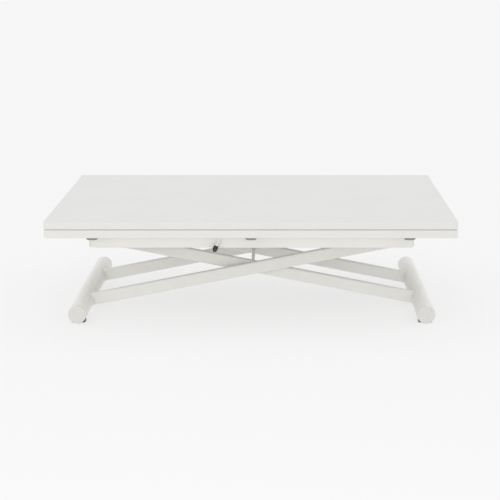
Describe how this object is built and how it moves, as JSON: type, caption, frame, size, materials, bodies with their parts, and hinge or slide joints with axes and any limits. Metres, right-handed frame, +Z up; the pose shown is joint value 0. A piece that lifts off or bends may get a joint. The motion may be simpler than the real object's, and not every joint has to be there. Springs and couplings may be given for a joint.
{
  "type": "lift top coffee table",
  "caption": "Low table on crossed leg frames that raise its top to dining height; the upper leaf slides with the lower one and folds open to double the surface.",
  "frame": {"origin": "on the floor below the middle of the folded, lowered top", "axes": "+X along the table towards the foot that stays put, +Y from the lever side to the hinge side, +Z up"},
  "size_m": [1.2, 0.7531, 0.3316],
  "materials": {
    "leaf_laminate": "satin white laminate on board",
    "frame_paint": "satin off-white powder coat",
    "cap_plastic": "satin white plastic",
    "shoe_plastic": "matte dark grey plastic",
    "guide_aluminium": "satin anodised",
    "guide_cap_plastic": "matte mid grey plastic",
    "grip_rubber": "satin black",
    "zinc_steel": "bright zinc plate",
    "nylon": "natural nylon",
    "bumper_rubber": "matte black rubber",
    "pad_silicone": "clear silicone pads",
    "cylinder_paint": "gloss black paint",
    "rod_chrome": "hard chrome",
    "head_alloy": "die-cast alloy"
  },
  "bodies": {
    "right_shoes": {"right_shoe_front": "shoe_plastic", "right_shoe_rear": "shoe_plastic"},
    "inner_leg_frame": {"right_foot_tube": "frame_paint", "right_foot_cap_front": "cap_plastic", "right_foot_cap_rear": "cap_plastic", "inner_leg_front": "frame_paint", "inner_leg_rear": "frame_paint", "inner_leg_bushes": "nylon"},
    "outer_leg_frame": {"left_foot_tube": "frame_paint", "left_foot_cap_front": "cap_plastic", "left_foot_cap_rear": "cap_plastic", "outer_leg_front": "frame_paint", "outer_leg_rear": "frame_paint", "crossing_axle": "frame_paint", "crossing_washers": "zinc_steel", "roller_axle": "zinc_steel", "roller_axle_collars": "zinc_steel"},
    "left_shoes": {"left_shoe_front": "shoe_plastic", "left_shoe_rear": "shoe_plastic"},
    "front_roller": {"roller_front": "nylon"},
    "rear_roller": {"roller_rear": "nylon"},
    "top_frame": {"front_rail": "frame_paint", "rear_rail": "frame_paint", "left_cross_member": "frame_paint", "middle_cross_member": "frame_paint", "right_cross_member": "frame_paint", "rail_end_caps": "cap_plastic", "front_track": "frame_paint", "rear_track": "frame_paint", "track_bumpers": "bumper_rubber", "fixed_pivot_axle": "zinc_steel", "fixed_pivot_spacers": "zinc_steel", "left_guide_bar": "guide_aluminium", "middle_guide_bar": "guide_aluminium", "right_guide_bar": "guide_aluminium", "guide_screws": "zinc_steel", "gas_spring_bracket": "frame_paint", "gas_rod": "rod_chrome", "release_head": "head_alloy", "head_bolts": "zinc_steel", "lever_bearing": "nylon"},
    "gas_spring": {"gas_cylinder": "cylinder_paint", "gas_gland": "cylinder_paint"},
    "height_lever": {"lever_rod": "frame_paint", "lever_grip": "grip_rubber", "release_finger": "zinc_steel"},
    "valve_pin": {"release_pin": "rod_chrome"},
    "lower_top": {"lower_leaf": "leaf_laminate", "left_runner": "guide_aluminium", "middle_runner": "guide_aluminium", "right_runner": "guide_aluminium", "runner_end_caps": "guide_cap_plastic", "runner_screws": "zinc_steel", "lower_hinge_plates": "zinc_steel", "hinge_pins": "zinc_steel", "lower_hinge_screws": "zinc_steel", "leaf_pads": "pad_silicone"},
    "upper_top": {"upper_leaf": "leaf_laminate", "upper_hinge_plates": "zinc_steel", "upper_hinge_screws": "zinc_steel"}
  },
  "joints": [
    {"name": "lift", "type": "hinge", "parent": "right_shoes", "child": "inner_leg_frame", "pos_m": [0.524, 0, 0.03], "axis": [0, 1, 0], "range_deg": [0, 28]},
    {"name": "leg_crossing", "type": "hinge", "parent": "inner_leg_frame", "child": "outer_leg_frame", "pos_m": [0, 0, 0.134], "axis": [0, 1, 0], "range_deg": [-56, 0]},
    {"name": "top_frame_pivot", "type": "hinge", "parent": "inner_leg_frame", "child": "top_frame", "pos_m": [-0.4459, 0, 0.2225], "axis": [0, 1, 0], "range_deg": [-28, 0]},
    {"name": "left_shoe_pivot", "type": "hinge", "parent": "outer_leg_frame", "child": "left_shoes", "pos_m": [-0.524, 0, 0.03], "axis": [0, 1, 0], "range_deg": [0, 28]},
    {"name": "gas_spring_eye", "type": "hinge", "parent": "outer_leg_frame", "child": "gas_spring", "pos_m": [0.4459, 0, 0.2225], "axis": [0, 1, 0], "range_deg": [0, 28]},
    {"name": "front_roller_spin", "type": "hinge", "parent": "outer_leg_frame", "child": "front_roller", "pos_m": [0.4459, -0.166, 0.2225], "axis": [0, 1, 0], "continuous": true},
    {"name": "rear_roller_spin", "type": "hinge", "parent": "outer_leg_frame", "child": "rear_roller", "pos_m": [0.4459, 0.166, 0.2225], "axis": [0, 1, 0], "continuous": true},
    {"name": "height_lever_turn", "type": "hinge", "parent": "top_frame", "child": "height_lever", "pos_m": [-0.09, 0, 0.2746], "axis": [0, -1, 0], "range_deg": [0, 6], "stiffness_Nm_per_rad": 3, "springref_deg": -5.73},
    {"name": "valve_pin_press", "type": "slide", "parent": "top_frame", "child": "valve_pin", "axis": [1, 0, 0], "range_m": [0, 0.0057]},
    {"name": "top_slide", "type": "slide", "parent": "top_frame", "child": "lower_top", "axis": [0, -1, 0], "range_m": [0, 0.375]},
    {"name": "leaf_fold", "type": "hinge", "parent": "lower_top", "child": "upper_top", "pos_m": [0, 0.3755, 0.3072], "axis": [-1, 0, 0], "range_deg": [0, 180]}
  ],
  "couplings": [
    {"joint": "leg_crossing", "follows": "lift", "ratio": -2},
    {"joint": "top_frame_pivot", "follows": "lift", "ratio": -1},
    {"joint": "left_shoe_pivot", "follows": "lift", "ratio": 1},
    {"joint": "gas_spring_eye", "follows": "lift", "ratio": 1},
    {"joint": "valve_pin_press", "follows": "height_lever_turn", "m_per_rad": 0.0521}
  ]
}
